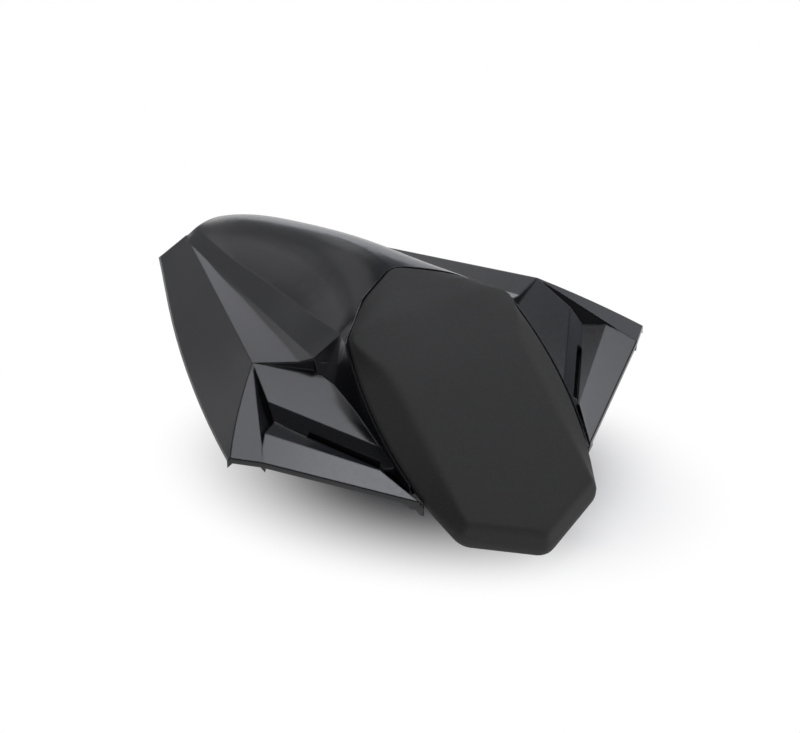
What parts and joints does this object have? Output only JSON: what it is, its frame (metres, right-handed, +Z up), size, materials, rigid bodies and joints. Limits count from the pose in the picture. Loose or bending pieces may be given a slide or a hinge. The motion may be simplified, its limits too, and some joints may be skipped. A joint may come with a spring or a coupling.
{
  "type": "motorbike seat cowl",
  "caption": "Faceted gloss cover that replaces a motorbike's pillion seat: rounded hump, side wings, sloped matt back pad, and a screwed-on tray with front tongues and a latch striker.",
  "frame": {"origin": "on the plane of symmetry, under the middle of the overall length, at the underside of the rubber feet", "axes": "+X across the bike, +Y towards the tail end, +Z up; the pad faces -Y"},
  "size_m": [0.28, 0.396, 0.1154],
  "materials": {
    "shell_paint": "gloss graphite paint under clear lacquer",
    "pad_skin": "fine matt grain, seamless moulded skin",
    "black_moulding": "satin black moulding",
    "plated_steel": "bright zinc plating",
    "feet_rubber": "matt black rubber"
  },
  "bodies": {
    "root": {"cowl_shell": "shell_paint", "seat_pad": "pad_skin", "pad_plate": "black_moulding", "pad_studs": "plated_steel", "pad_nuts": "plated_steel", "base_tray": "black_moulding", "tray_screws": "plated_steel", "latch_striker": "plated_steel", "striker_screws": "plated_steel", "tray_buffers": "feet_rubber"}
  },
  "joints": []
}
